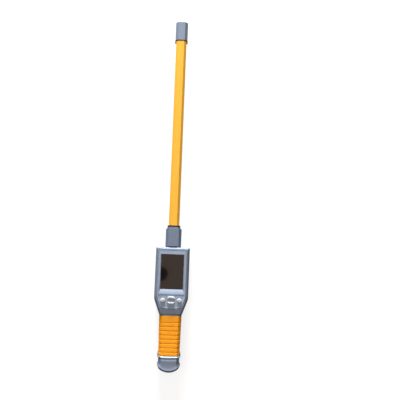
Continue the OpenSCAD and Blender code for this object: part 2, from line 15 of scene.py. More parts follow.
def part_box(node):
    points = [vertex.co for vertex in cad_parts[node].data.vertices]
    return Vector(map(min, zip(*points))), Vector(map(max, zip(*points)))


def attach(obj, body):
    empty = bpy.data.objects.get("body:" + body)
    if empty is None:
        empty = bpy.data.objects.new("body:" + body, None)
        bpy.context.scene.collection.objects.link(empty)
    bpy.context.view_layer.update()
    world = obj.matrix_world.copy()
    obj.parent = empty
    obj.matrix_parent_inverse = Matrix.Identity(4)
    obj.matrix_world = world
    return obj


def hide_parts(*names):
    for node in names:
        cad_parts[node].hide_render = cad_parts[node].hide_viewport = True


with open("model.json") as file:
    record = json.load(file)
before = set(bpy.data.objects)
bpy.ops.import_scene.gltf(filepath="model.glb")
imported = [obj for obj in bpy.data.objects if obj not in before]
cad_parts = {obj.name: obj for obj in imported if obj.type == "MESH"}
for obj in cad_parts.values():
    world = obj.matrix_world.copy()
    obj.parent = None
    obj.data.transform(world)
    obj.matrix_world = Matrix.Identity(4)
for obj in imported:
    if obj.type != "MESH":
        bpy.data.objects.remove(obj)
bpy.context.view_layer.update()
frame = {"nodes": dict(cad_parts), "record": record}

scene = bpy.context.scene

MM = 0.001
CROWN_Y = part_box("end_cap")[0].y


def span(node, axis):
    """The lowest and highest coordinate of a CAD node along an axis, in mm from the crown."""
    start = (0.0, CROWN_Y, 0.0)["xyz".index(axis)]
    return [round((getattr(corner, axis) - start) / MM, 3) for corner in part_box(node)]


# ---- Sizes, in mm ----
AXIS_Z = span("back_shell", "z")[1]
FACE_Z = span("front_shell", "z")[1]
WALL = 2.6
BORE_CUT_STEP = 1.2     # how much smaller a bore's corner cuts are than the outside's
CUT_GROWTH = 0.586      # how much a corner cut grows when its section grows by 1 on every side
FIT = 0.1               # clearance between parts that are assembled and stay put
MOVING_GAP = 0.3        # clearance around a part that moves
PAST = 1.0              # how far a cutter reaches past what it cuts

HEAD_HALF = span("front_shell", "x")[1]
HEAD_TOP = span("front_shell", "y")[1]
TOP_TAPER = 0.2         # how much narrower the head and the bezel are at their upper corners
SHOULDER_Y = 157.1
NECK_HALF = 23.7
NECK_Y = 120.5
NECK_SLOPE_Y = 137.0
NECK_DROP = 3.0
KINK_HALF = 0.8
HEAD_BEVEL = 4.5
HEAD_BEVEL_Z = 7.0
TOP_LIFT = 0.25
HEAD_CORNERS = [(NECK_HALF, NECK_Y, 0.8), (HEAD_HALF, SHOULDER_Y, 32.0),
                (HEAD_HALF - TOP_TAPER, HEAD_TOP, 3.0)]

SEAT_Z = span("front_bezel", "z")[0]
CREST_Z = span("front_bezel", "z")[1]
BASIN_Z = FACE_Z + 0.8
BEZEL_HALF = span("front_bezel", "x")[1]
BEZEL_FOOT, BEZEL_TOP = span("front_bezel", "y")
BEZEL_CORNERS = [(0.0, BEZEL_FOOT, 40.0), (23.1, BEZEL_FOOT + 1.4, 14.3),
                 (BEZEL_HALF, SHOULDER_Y + 1, 26.4), (BEZEL_HALF - TOP_TAPER, BEZEL_TOP, 3.0)]
BEZEL_LEDGE = 3.8
FIT_GAP = 0.35
TOP_GAP = 0.8

LENS_Z = span("display_lens", "z")[1]
LENS_LAP = 1.5
LENS_BOX = span("display_lens", "x") + span("display_lens", "y")
WINDOW_HALF = LENS_BOX[1] - LENS_LAP
WINDOW_Y0 = LENS_BOX[2] + LENS_LAP
WINDOW_Y1 = LENS_BOX[3] - LENS_LAP
WINDOW_R = 0.8
CHIN_H = 10.5

KEY_BODIES = ("left_key", "right_key", "up_key", "down_key")

HANDLE_W, HANDLE_D, HANDLE_CUT = 42.6, 26.0, 5.6
HANDLE_WALL = 2.2
TAIL_Y = span("front_shell", "y")[0]
SLEEVE_Y0, SLEEVE_Y1 = span("grip_sleeve", "y")
SLEEVE_HALF = 23.1
SLEEVE_HALF_TOP = span("grip_sleeve", "x")[1]
SLEEVE_D = 30.0
SLEEVE_CUT = 6.6
SLEEVE_END_R = 4.5
GROOVES = 8
FIRST_GROOVE = 7.3      # from the sleeve's lower end
LAST_GROOVE = 14.2      # from its upper end

SPIGOT_W, SPIGOT_CUT = 26.6, 6.4
TUBE_W = span("probe_tube", "x")[1] * 2
TUBE_CUT = 5.6
TUBE_WALL = 2.2


def place(point):
    """A point in mm from the crown, in the row frame."""
    return Vector((point[0] * MM, CROWN_Y + point[1] * MM, point[2] * MM))


# ---- Outlines and profiles ----
def mirrored(corners):
    """A whole outline from its right-hand half."""
    return corners + [(-x, y, r) for x, y, r in reversed(corners) if x > 0]


def rounded_loop(corners, inset=0.0, steps=6, between=0, cuts=()):
    """A counterclockwise outline of (x, y, radius) corners moved inwards by inset, as 2D points.

    Its count of points doesn't depend on the inset, so that faces can join two such loops.
    between is the number of extra points on each edge, and cuts are y levels that get a point.
    """
    edges = []
    for a, b in zip(corners, corners[1:] + corners[:1]):
        along = Vector((b[0] - a[0], b[1] - a[1])).normalized()
        inward = Vector((-along.y, along.x))
        edges.append((Vector(a[:2]) + inward * inset, along, inward))
    arcs = []
    for i, (_, _, radius) in enumerate(corners):
        start, before, inward = edges[i - 1]
        origin, after, _ = edges[i]
        turn = math.atan2(before.cross(after), before.dot(after))
        corner = start + before * ((origin - start).cross(after) / before.cross(after))
        side = math.copysign(1, turn)
        rounding = max(radius - side * inset, 0.15)
        centre = corner - before * rounding * math.tan(abs(turn) / 2) + inward * rounding * side
        heading = math.atan2(before.y, before.x)
        angles = [heading + turn * k / steps for k in range(steps + 1)]
        arcs.append([centre + Vector((math.sin(a), -math.cos(a))) * rounding * side for a in angles])
    loop = []
    for arc, following in zip(arcs, arcs[1:] + arcs[:1]):
        ends = arc[-1], following[0]
        loop += arc + [ends[0].lerp(ends[1], k / (between + 1)) for k in range(1, between + 1)]
    whole = []
    for a, b in zip(loop, loop[1:] + loop[:1]):
        whole.append(a)
        for level in sorted(cuts, reverse=b.y < a.y):
            if min(a.y, b.y) < level < max(a.y, b.y):
                whole.append(a.lerp(b, (level - a.y) / (b.y - a.y)))
    return whole


def soften(path, steps=3):
    """Rounds a path of tuples. Each tuple's last item is how far its rounding reaches."""
    smooth = []
    for i, (*here, reach) in enumerate(path):
        if reach == 0 or i in (0, len(path) - 1):
            smooth.append(tuple(here))
            continue
        ends = []
        for other in (path[i - 1][:-1], path[i + 1][:-1]):
            away = math.hypot(*(b - a for a, b in zip(here, other)))
            share = min(reach / away, 0.48)
            ends.append([a + (b - a) * share for a, b in zip(here, other)])
        for k in range(steps + 1):
            t = k / steps
            smooth.append(tuple((1 - t) ** 2 * a + 2 * t * (1 - t) * b + t * t * c
                                for a, b, c in zip(ends[0], here, ends[1])))
    return smooth


def octagon(width, depth, cut, edge=0.6, steps=2, between=0):
    """An octagonal section about the probe's axis with its corners rounded, as (x, z) points."""
    x, z = width / 2, depth / 2
    corners = [(x - cut, -z), (x, cut - z), (x, z - cut), (x - cut, z),
               (cut - x, z), (-x, z - cut), (-x, cut - z), (cut - x, -z)]
    loop = rounded_loop([(*corner, edge) for corner in corners], 0, steps, between)
    return [(p.x, p.y + AXIS_Z) for p in loop]


def bar_loops(stations, edge=0.6, between=0, bend=None):
    """Sections along y. A station is (y, width, depth, cut), or has more items for bend(x, ...)."""
    loops = []
    for y, width, depth, cut, *more in stations:
        section = octagon(width, depth, cut, edge, between=between)
        loops.append([(x, y + (bend(x, *more) if bend else 0), z) for x, z in section])
    return loops


# ---- Meshes ----
def skin(bm, loops, closed=False):
    """Joins loops of equal length by rings of faces, and returns the first and last row of points."""
    rows = [[bm.verts.new(place(p)) for p in loop] for loop in loops]
    for a, b in zip(rows, rows[1:] + (rows[:1] if closed else [])):
        for k in range(len(a)):
            bm.faces.new((a[k - 1], a[k], b[k], b[k - 1]))
    return rows[0], rows[-1]


def solid(bm, loops):
    """A closed solid from loops, with a flat face at each end."""
    for row in skin(bm, loops):
        bm.faces.new(row)


def inside(x, y, ring):
    """Whether a point lies inside a ring of points."""
    crossed = False
    for a, b in zip(ring, ring[1:] + ring[:1]):
        if (a[1] > y) != (b[1] > y) and x < a[0] + (b[0] - a[0]) * (y - a[1]) / (b[1] - a[1]):
            crossed = not crossed
    return crossed


def patch(bm, outer, holes=(), lines=(), creases=()):
    """Fills the area between outer and the holes with triangles, seen along z.

    All are made of (x, y, z) points. lines are closed rings and creases are open lines in the
    area, and the triangles keep to both.
    """
    points, edges = [], []
    for line, closed in [(outer, 1)] + [(h, 1) for h in (*holes, *lines)] + [(c, 0) for c in creases]:
        first = len(points)
        points += line
        count = len(line)
        edges += [(first + k, first + (k + 1) % count) for k in range(count - 1 + closed)]
    flat = [Vector(p[:2]) for p in points]
    found, _, faces, origins, _, _ = delaunay_2d_cdt(flat, edges, [], 0, 1e-5)
    verts = [bm.verts.new(place(points[origin[0]])) for origin in origins]
    for face in faces:
        x = sum(found[k].x for k in face) / 3
        y = sum(found[k].y for k in face) / 3
        if inside(x, y, outer) and not any(inside(x, y, hole) for hole in holes):
            bm.faces.new([verts[k] for k in face])
    for vert in verts:
        if not vert.link_faces:
            bm.verts.remove(vert)


def tidy(bm):
    """Merges doubled points, drops slivers and turns the faces outwards."""
    bmesh.ops.remove_doubles(bm, verts=bm.verts, dist=2e-6)
    bmesh.ops.dissolve_degenerate(bm, edges=bm.edges, dist=1e-6)
    bmesh.ops.recalc_face_normals(bm, faces=bm.faces)


def as_object(name, bm):
    """Tidies a mesh and puts it into the scene as an object."""
    tidy(bm)
    mesh = bpy.data.meshes.new(name)
    bm.to_mesh(mesh)
    bm.free()
    made = bpy.data.objects.new(name, mesh)
    scene.collection.objects.link(made)
    return made


def carve(piece, operation, loops):
    """Joins a closed solid made of loops to a piece, or cuts it out, and drops the tool."""
    bm = bmesh.new()
    solid(bm, loops)
    tool = as_object("tool", bm)
    modifier = piece.modifiers.new("carve", "BOOLEAN")
    modifier.operation = operation
    modifier.solver = "EXACT"
    modifier.object = tool
    graph = bpy.context.evaluated_depsgraph_get()
    old = piece.data
    piece.data = bpy.data.meshes.new_from_object(piece.evaluated_get(graph))
    piece.data.name = piece.name
    piece.modifiers.clear()
    bpy.data.meshes.remove(old)
    bpy.data.objects.remove(tool)


def finish_piece(piece, body, material, nodes=(), sharp=34):
    """Smooths a finished mesh, gives it its material, ties it to its body and hides the CAD nodes it stands
    in for.
    """
    bm = bmesh.new()
    bm.from_mesh(piece.data)
    tidy(bm)
    for face in bm.faces:
        face.smooth = True
    for edge in bm.edges:
        edge.smooth = edge.is_manifold and edge.calc_face_angle(0) < math.radians(sharp)
    bm.to_mesh(piece.data)
    bm.free()
    piece.data.materials.clear()
    piece.data.materials.append(material)
    weights = piece.modifiers.new("weighted normals", "WEIGHTED_NORMAL")
    weights.keep_sharp = True
    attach(piece, body)
    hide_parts(*nodes)
    return piece


# ---- Materials ----
def noise(tree, coordinates, size, detail=3.0, stretch=(1, 1, 1)):
    """Noise whose features are about size mm across."""
    scaled = tree.nodes.new("ShaderNodeMapping")
    scaled.inputs["Scale"].default_value = stretch
    tree.links.new(coordinates, scaled.inputs["Vector"])
    texture = tree.nodes.new("ShaderNodeTexNoise")
    texture.inputs["Scale"].default_value = 1 / (size * MM)
    texture.inputs["Detail"].default_value = detail
    tree.links.new(scaled.outputs["Vector"], texture.inputs["Vector"])
    return texture.outputs["Fac"]


def remap(tree, value, low, high):
    """Spreads the middle of a noise over low to high."""
    node = tree.nodes.new("ShaderNodeMapRange")
    node.inputs["From Min"].default_value = 0.3
    node.inputs["From Max"].default_value = 0.7
    node.inputs["To Min"].default_value = low
    node.inputs["To Max"].default_value = high
    tree.links.new(value, node.inputs["Value"])
    return node.outputs["Result"]


def shades(tree, value, dark, light):
    """A colour that goes from dark to light as value goes from 0 to 1."""
    node = tree.nodes.new("ShaderNodeMix")
    node.data_type = "RGBA"
    node.inputs["A"].default_value = (*dark, 1)
    node.inputs["B"].default_value = (*light, 1)
    tree.links.new(value, node.inputs["Factor"])
    return node.outputs["Result"]


def calculate(tree, operation, *values):
    """A math node. A value is a number or another node's output."""
    node = tree.nodes.new("ShaderNodeMath")
    node.operation = operation
    for socket, value in zip(node.inputs, values):
        if isinstance(value, float):
            socket.default_value = value
        else:
            tree.links.new(value, socket)
    return node.outputs[0]


def new_material(name):
    """A material with its node tree and its main shader."""
    material = bpy.data.materials.new(name)
    material.use_nodes = True
    return material, material.node_tree, material.node_tree.nodes["Principled BSDF"]


def moulded(name, color, roughness, vary=0.05, grain=0.5, depth=0.02, stretch=(1, 1, 1), **sockets):
    """A moulded or rolled surface: blotches in colour and gloss, fine scuffs, and a grain in relief."""
    material, tree, shader = new_material(name)
    coordinates = tree.nodes.new("ShaderNodeTexCoord").outputs["Object"]
    blotch = noise(tree, coordinates, 14, 4)
    speckle = noise(tree, coordinates, grain * 1.6, 2, stretch)
    mean = calculate(tree, "MULTIPLY_ADD", speckle, 0.5, calculate(tree, "MULTIPLY", blotch, 0.5))
    tone = remap(tree, mean, 0, 1)
    dark = [c * (1 - vary) for c in color]
    light = [min(c * (1 + vary), 1) for c in color]
    tree.links.new(shades(tree, tone, dark, light), shader.inputs["Base Color"])
    scuff = noise(tree, coordinates, 5, 5, (1, 0.25, 1))
    tree.links.new(remap(tree, scuff, roughness * 0.88, roughness * 1.12), shader.inputs["Roughness"])
    bump = tree.nodes.new("ShaderNodeBump")
    bump.inputs["Distance"].default_value = depth * MM
    bump.inputs["Strength"].default_value = 1
    tree.links.new(noise(tree, coordinates, grain, 2, stretch), bump.inputs["Height"])
    tree.links.new(bump.outputs["Normal"], shader.inputs["Normal"])
    for socket, value in sockets.items():
        shader.inputs[socket.replace("_", " ")].default_value = value
    return material


HOUSING = moulded("blue grey plastic", (0.207, 0.254, 0.348), 0.42)
# The bezel's copy of the housing plastic is lighter: painted light that stands in for the extra light and
# sheen on its crest and slopes.
BEZEL_PAINTED_LIGHT_PLASTIC = moulded("light blue grey plastic", (0.258, 0.316, 0.425), 0.40)
# The collar's copy of the housing plastic is darker: painted shade that stands in for the weaker light that
# falls on the collar.
COLLAR_PAINTED_SHADE_PLASTIC = moulded("dark blue grey plastic", (0.150, 0.192, 0.272), 0.42)
ORANGE_RUBBER = moulded("orange rubber", (0.99, 0.368, 0.014), 0.62, grain=0.35, depth=0.03,
                        Specular_IOR_Level=0.2)
AMBER = moulded("amber plastic", (0.95, 0.475, 0.05), 0.5, grain=0.4, depth=0.01, stretch=(1, 0.3, 1),
                Specular_IOR_Level=0.2)
KEY_PLASTIC = moulded("pale key plastic", (0.465, 0.485, 0.515), 0.3, vary=0.02, grain=0.8, depth=0.004)
# The warm specular tint is a painted reflection colour: it warms every reflection in the display as warm
# surroundings would.
GLASS_PAINTED_REFLECTION = moulded("smoked display glass", (0.0085, 0.0065, 0.0066), 0.045, grain=3, depth=0.0003,
                Specular_IOR_Level=0.43, Specular_Tint=(1.0, 0.80, 0.70, 1))
BLACK_RUBBER = moulded("black rubber", (0.022, 0.022, 0.025), 0.68, grain=0.4, depth=0.03)
# The seal's dark maroon is painted shade with painted orange bounce light from the probe's tube.
SEAL_PAINTED_SHADE_RUBBER = moulded("maroon seal rubber", (0.10, 0.02, 0.012), 0.6, grain=0.4, depth=0.02)
SLOT_MATERIALS = {
    "housing_plastic": HOUSING,
    "bezel_plastic": BEZEL_PAINTED_LIGHT_PLASTIC,
    "collar_plastic": COLLAR_PAINTED_SHADE_PLASTIC,
    "grip_rubber": ORANGE_RUBBER,
    "probe_plastic": AMBER,
    "key_plastic": KEY_PLASTIC,
    "display_glass": GLASS_PAINTED_REFLECTION,
    "black_rubber": BLACK_RUBBER,
    "seal_rubber": SEAL_PAINTED_SHADE_RUBBER,
    "display_metal": moulded("display metal", (0.70, 0.71, 0.73), 0.35, grain=0.3, depth=0.004,
                             stretch=(1, 0.1, 1), Metallic=1.0),
    "board_laminate": moulded("board laminate", (0.03, 0.16, 0.07), 0.4, vary=0.15, grain=0.9, depth=0.01),
    "black_plastic": moulded("black plastic", (0.03, 0.03, 0.035), 0.45, grain=0.5, depth=0.015),
    "pale_plastic": moulded("pale plastic", (0.78, 0.76, 0.70), 0.5, grain=0.6, depth=0.01),
    "screw_steel": moulded("screw steel", (0.58, 0.59, 0.61), 0.3, vary=0.1, grain=0.25, depth=0.006,
                           Metallic=1.0),
    "contact_brass": moulded("contact brass", (0.80, 0.58, 0.26), 0.28, vary=0.12, grain=0.4, depth=0.004,
                             Metallic=1.0),
    "cell_jacket": moulded("cell jacket", (0.10, 0.16, 0.24), 0.3, vary=0.1, grain=1.5, depth=0.003,
                           Metallic=0.6),
    "red_lead": moulded("red lead", (0.5, 0.02, 0.02), 0.42, grain=0.6, depth=0.01),
    "black_lead": moulded("black lead", (0.02, 0.02, 0.022), 0.42, grain=0.6, depth=0.01),
}
for part in frame["record"]["subparts"]:
    node_mesh = frame["nodes"][part["node"]].data
    node_mesh.materials.clear()
    node_mesh.materials.append(SLOT_MATERIALS[part["material_slot"]])


# ---- Head shells ----
def neck_fall(y):
    """How much the neck is squeezed towards the probe's axis at y."""
    return 1 - max(0, NECK_SLOPE_Y - y) / (NECK_SLOPE_Y - NECK_Y) * NECK_DROP / AXIS_Z


KINKS = (NECK_SLOPE_Y - KINK_HALF, NECK_SLOPE_Y + KINK_HALF)
HEAD = mirrored(HEAD_CORNERS)
BEZEL = mirrored(BEZEL_CORNERS)


def head_loop(inset, z, top_lift=0.0):
    """The head's outline at a height, with the neck squeezed towards the axis.

    top_lift is the share of the inset that the outline's upper end is spared.
    """
    loop = []
    for p in rounded_loop(HEAD, inset, 8, cuts=KINKS):
        lift = top_lift * inset * (p.y > HEAD_TOP - 10)
        loop.append((p.x, p.y + lift, AXIS_Z + (z - AXIS_Z) * neck_fall(min(p.y, KINKS[1]))))
    return loop


def bezel_loop(inset, z):
    """The bezel's outline at a height."""
    return [(p.x, p.y, z) for p in rounded_loop(BEZEL, inset, 10)]


def recess_loop(z=None):
    """The edge of the bezel's recess, at a height or on the shell's face. Its gap is wider at the top."""
    loop = []
    for p in rounded_loop(BEZEL, -FIT_GAP, 10, cuts=KINKS):
        face = AXIS_Z + (FACE_Z - AXIS_Z) * neck_fall(p.y)
        loop.append((p.x, p.y + TOP_GAP * (p.y > BEZEL_TOP - 3), face if z is None else z))
    return loop


def kink_lines(*loops):
    """The lines along the neck's upper end between the loops that bound a face."""
    lines = []
    for level in KINKS:
        on_level = sorted(p for loop in loops for p in loop if abs(p[1] - level) < 1e-3)
        lines += [[a, b] for a, b in zip(on_level[::2], on_level[1::2])]
    return lines


def flipped(loops):
    """The same loops on the back half."""
    return [[(x, y, 2 * AXIS_Z - z) for x, y, z in loop] for loop in loops]


def half_bar(width, depth, cut, y0, y1, top):
    """The loops of the upper or lower half of an octagonal bar."""
    x, z = width / 2, depth / 2
    section = [(x, 0), (x, z - cut), (x - cut, z), (cut - x, z), (-x, z - cut), (-x, 0)]
    side = 1 if top else -1
    return [[(u, y, AXIS_Z + side * v) for u, v in section] for y in (y0, y1)]


def post(x, y, radius, z0, z1, count=48):
    """The loops of an upright cylinder."""
    turns = [2 * math.pi * k / count for k in range(count)]
    return [[(x + radius * math.cos(a), y + radius * math.sin(a), z) for a in turns] for z in (z0, z1)]


def head_shell(name, front):
    """Half of the head with its neck, and half of the handle's tube."""
    outer = [head_loop(*s, TOP_LIFT) for s in soften([
        (0.35, AXIS_Z, 0), (0, AXIS_Z + 0.35, 0.2), (0, FACE_Z - HEAD_BEVEL_Z, 1.6),
        (HEAD_BEVEL, FACE_Z, 0.6), (HEAD_BEVEL + 0.65, FACE_Z, 0)])]
    inner = [head_loop(*s) for s in soften([
        (HEAD_BEVEL + WALL, FACE_Z - WALL, 0), (HEAD_BEVEL + 0.6 * WALL, FACE_Z - WALL, 0.5),
        (WALL, FACE_Z - HEAD_BEVEL_Z, 1), (WALL, AXIS_Z, 0)])]
    bm = bmesh.new()
    if front:
        recess = [recess_loop(), recess_loop(SEAT_Z)]
        opening = [bezel_loop(BEZEL_LEDGE, SEAT_Z), bezel_loop(BEZEL_LEDGE, FACE_Z - WALL)]
        skin(bm, outer)
        patch(bm, outer[-1], [recess[0]], creases=kink_lines(outer[-1], recess[0]))
        skin(bm, recess)
        patch(bm, recess[-1], [opening[0]])
        skin(bm, opening)
        patch(bm, inner[0], [opening[-1]], creases=kink_lines(inner[0]))
        skin(bm, inner + [outer[0]])
    else:
        outer, inner = flipped(outer), flipped(inner)
        skin(bm, outer)
        patch(bm, outer[-1], creases=kink_lines(outer[-1]))
        patch(bm, inner[0], creases=kink_lines(inner[0]))
        skin(bm, inner + [outer[0]])
    shell = as_object(name, bm)
    carve(shell, "UNION", half_bar(HANDLE_W, HANDLE_D, HANDLE_CUT, TAIL_Y, NECK_Y + WALL - 0.2, front))
    bore = HANDLE_W - 2 * HANDLE_WALL, HANDLE_D - 2 * HANDLE_WALL, HANDLE_CUT - BORE_CUT_STEP
    carve(shell, "DIFFERENCE", bar_loops([(TAIL_Y - PAST, *bore), (NECK_Y + WALL + PAST, *bore)], 0.3))
    hole = SPIGOT_W + 2 * FIT, SPIGOT_W + 2 * FIT, SPIGOT_CUT
    carve(shell, "DIFFERENCE", bar_loops([(HEAD_TOP - 2 * WALL, *hole), (HEAD_TOP + PAST, *hole)], 0.3))
    return shell


SCREW_PLACES = [(28.4, 259.4), (28.4, 171.0), (21.8, 137.4)]
BOSS_R = 4.3
SCREW_R = 1.6
SINK_R = 3.1
SINK_DEPTH = 5


def add_bosses(shell):
    """The posts inside the back shell that its six screws run through, with their sinks."""
    for x, y in [(side * x, y) for x, y in SCREW_PLACES for side in (-1, 1)]:
        carve(shell, "UNION", post(x, y, BOSS_R, WALL - 0.3, AXIS_Z))
        carve(shell, "DIFFERENCE", post(x, y, SCREW_R, PAST, AXIS_Z + PAST))
        carve(shell, "DIFFERENCE", post(x, y, SINK_R, -PAST, SINK_DEPTH))


finish_piece(head_shell("front_housing", True), "root", HOUSING, ["front_shell"])
back_housing = head_shell("back_housing", False)
add_bosses(back_housing)
finish_piece(back_housing, "root", HOUSING, ["back_shell"])


# ---- Keys ----
KEY_Y = 153.8
SIDE_KEY_X = 18.2
SIDE_KEY_RADII = 5.4, 4.3
SIDE_KEY_TILT = 14
MOON = mirrored([(8.5, 2.95, 1.3), (6.8, 8.75, 5.6)])
MOON_ARCH = 0.9
MOON_ARCH_HALF = 7.2
KEY_FLANGE = 1.1
KEY_FLANGE_T = 1.2


def ellipse(radii, tilt, centre, inset, count=40):
    """A tilted ellipse moved inwards by inset, as (x, y) points."""
    turned = Matrix.Rotation(math.radians(tilt), 2)
    a, b = [radius - inset for radius in radii]
    points = []
    for k in range(count):
        t = 2 * math.pi * k / count
        spot = turned @ Vector((a * math.cos(t), b * math.sin(t)))
        points.append((spot.x + centre[0], spot.y + centre[1]))
    return points


def key_outline(name, inset):
    """A key's outline as (x, y) points."""
    if name == "left_key":
        return ellipse(SIDE_KEY_RADII, SIDE_KEY_TILT, (-SIDE_KEY_X, KEY_Y), inset)
    if name == "right_key":
        return ellipse(SIDE_KEY_RADII, -SIDE_KEY_TILT, (SIDE_KEY_X, KEY_Y), inset)
    loop = rounded_loop(MOON, inset, 8, 5)
    if name == "down_key":
        return [(-p.x, KEY_Y - p.y) for p in loop]
    base = MOON[0][1] + inset
    arch = [MOON_ARCH * max(0, 1 - (p.x / MOON_ARCH_HALF) ** 2) * (p.y < base + 0.01) for p in loop]
    return [(p.x, KEY_Y + p.y + rise) for p, rise in zip(loop, arch)]


def key_cap(name):
    """A key with a domed top, and a flange at its foot that keeps it under the bezel."""
    foot_z, top_z = span(name, "z")
    shelf_z = foot_z + KEY_FLANGE_T
    profile = soften([
        (1, foot_z, 0), (-KEY_FLANGE, foot_z, 0.2), (-KEY_FLANGE, shelf_z, 0.2), (0, shelf_z, 0.2),
        (0, top_z - 0.9, 0.7), (0.8, top_z - 0.16, 0.8), (3.2, top_z, 0)], 4)
    bm = bmesh.new()
    solid(bm, [[(x, y, z) for x, y in key_outline(name, inset)] for inset, z in profile])
    return as_object(name + "_cap", bm)


for key in KEY_BODIES:
    finish_piece(key_cap(key), key, KEY_PLASTIC, [key], 50)


# ---- Bezel and lens ----
def rectangle(half0, half1, y0, y1, radius):
    """The corners of a rectangle whose half width is half0 at y0 and half1 at y1."""
    return mirrored([(half0, y0, radius), (half1, y1, radius)])


def mix(a, b, t):
    """What lies at t on the way from a to b."""
    return a + (b - a) * t


def smooth_step(t):
    """t from 0 to 1, eased at both ends."""
    return t * t * (3 - 2 * t)


def fraction(value, low, high):
    """How far value lies between low and high, eased at both ends."""
    return smooth_step(min(max((value - low) / (high - low), 0), 1))


CHIN_Y = WINDOW_Y0 - CHIN_H
WINDOW_RAMP_SIDE = 3.7
WINDOW_RAMP_TAPER = 0.4
WINDOW_RAMP_TOP = 1.3
WINDOW_RAMP_R = 2.2
BASIN_RIM = 2.7
BASIN_RAMP = 1.8
BASIN_TOP_R = 1.1
RIM_PROFILE = [(0, 0), (0.12, 0.2), (0.45, 0.52), (0.9, 0.78), (1.4, 0.93), (2.0, 1)]
BROW_START, BROW_STEP, BROW_LINES = 2.2, 0.8, 6


def window_loop(t):
    """A ring on the slope around the window, from its edge at 0 to the crest at 1."""
    half = WINDOW_HALF + WINDOW_RAMP_SIDE * t
    corners = rectangle(half, half - WINDOW_RAMP_TAPER * t, mix(WINDOW_Y0, CHIN_Y, t),
                        WINDOW_Y1 + WINDOW_RAMP_TOP * t, mix(WINDOW_R, WINDOW_RAMP_R, t))
    loop = []
    for p in rounded_loop(corners, 0, 6, 6):
        power = mix(1.5, 8, fraction(p.y, WINDOW_Y0 - 1.5, WINDOW_Y0 + 3))
        loop.append((p.x, p.y, mix(LENS_Z + 0.15, CREST_Z - 0.05, 1 - (1 - t) ** power)))
    return loop


def crest(y):
    """The height of the rim, which sinks towards the bezel's foot."""
    return mix(BASIN_Z + 0.35, CREST_Z, fraction(y, BEZEL_FOOT, CHIN_Y))


def top_slope(y):
    """The height of the gentle slope above the window."""
    return CREST_Z - 0.05 - 0.2 * (1 - fraction(BEZEL_TOP - y, 2.4, 6.8))


def rim_height(y, share):
    """The height at y of a ring on the rim that has climbed by share. Its upper end is a plain step."""
    side = mix(FACE_Z + 0.1, crest(y), share)
    step = mix(FACE_Z + 0.1, top_slope(y), min(share / 0.2, 1))
    return mix(side, step, fraction(y, BEZEL_TOP - 4, BEZEL_TOP - 0.8))


def basin_loop(t):
    """A ring on the slope around the keypad, from its crest at 0 to its floor at 1."""
    inset = BASIN_RIM + BASIN_RAMP * t
    top = CHIN_Y - 1.2 - BASIN_RAMP * t
    corners = BEZEL_CORNERS[:3] + [(BEZEL_HALF, top + inset, BASIN_TOP_R + inset)]
    flat = rounded_loop(mirrored(corners), inset, 8, 3)
    return [(p.x, p.y, mix(crest(p.y) - 0.1, BASIN_Z, smooth_step(t))) for p in flat]


def bezel():
    """The rim around the window and the keypad's basin as one moulding."""
    sides = [bezel_loop(0, SEAT_Z)]
    for inset, share in RIM_PROFILE:
        sides.append([(x, y, rim_height(y, share)) for x, y, _ in bezel_loop(inset, 0)])
    levels = [BEZEL_TOP - BROW_START - BROW_STEP * k for k in range(BROW_LINES)]
    brow = [[(x, y, top_slope(y)) for x in range(-24, 25, 8)] for y in levels]
    window = [window_loop(k / 5) for k in range(6)]
    basin = [basin_loop(k / 4) for k in range(5)]
    holes = [key_outline(key, -MOVING_GAP) for key in KEY_BODIES]
    bm = bmesh.new()
    skin(bm, sides)
    lips = [[(x, y, BASIN_Z) for x, y in hole] for hole in holes]
    patch(bm, sides[-1], [window[0], *lips], window[1:] + basin, brow)
    opening = rectangle(WINDOW_HALF, WINDOW_HALF, WINDOW_Y0, WINDOW_Y1, WINDOW_R)
    edge = rounded_loop(opening, 0, 6, 6)
    ledge = rounded_loop(opening, -LENS_LAP - FIT_GAP, 6, 6)
    pocket = [[(p.x, p.y, LENS_Z + 0.05) for p in edge], [(p.x, p.y, LENS_Z + 0.05) for p in ledge],
              [(p.x, p.y, SEAT_Z) for p in ledge]]
    skin(bm, [window[0]] + pocket)
    for lip in lips:
        skin(bm, [lip, [(x, y, SEAT_Z) for x, y, _ in lip]])
    patch(bm, sides[0], [pocket[-1]] + [[(x, y, SEAT_Z) for x, y, _ in lip] for lip in lips])
    return as_object("display_bezel", bm)


def lens():
    """The flat pane over the display, with its edges eased."""
    corners = rectangle(LENS_BOX[1], LENS_BOX[1], LENS_BOX[2], LENS_BOX[3], 1.2)
    back_z = span("display_lens", "z")[0]
    profile = soften([
        (0.2, back_z, 0), (0, back_z + 0.2, 0.1), (0, LENS_Z - 0.25, 0.2), (0.25, LENS_Z, 0.2),
        (1, LENS_Z, 0)])
    bm = bmesh.new()
    solid(bm, [[(p.x, p.y, z) for p in rounded_loop(corners, inset, 5)] for inset, z in profile])
    return as_object("display_glass", bm)


finish_piece(bezel(), "root", BEZEL_PAINTED_LIGHT_PLASTIC, ["front_bezel"], 50)
finish_piece(lens(), "root", GLASS_PAINTED_REFLECTION, ["display_lens"])

# ---- Grip sleeve ----
GROOVE_PROFILE = [(-1.5, 0), (-0.85, 0.1), (-0.62, 0.4), (-0.45, 0.8), (0, 0.95), (0.45, 0.8), (0.7, 0.4),
                  (1.0, 0.1), (2.0, 0)]
GROW_FROM, GROW_TO = 45.0, SLEEVE_Y1 - 8
BENT_LENGTH = 9.5


def end_rise(x, half, radius):
    """How far the grip's lower end has risen at x, where its corners are rounded."""
    out = min(max(abs(x) - (half - radius), 0), radius)
    return radius - math.sqrt(radius * radius - out * out)


def sleeve_station(y, sink=0.0):
    """The sleeve's section at y, sunk on every side. It widens upwards, and its lower end is bent."""
    grow = max(0, (y - GROW_FROM) / (GROW_TO - GROW_FROM))
    half = mix(SLEEVE_HALF, SLEEVE_HALF_TOP, min(grow, 1)) - sink
    fade = max(0, 1 - (y - SLEEVE_Y0) / BENT_LENGTH)
    return y, 2 * half, SLEEVE_D - 2 * sink, SLEEVE_CUT - CUT_GROWTH * sink, fade * fade


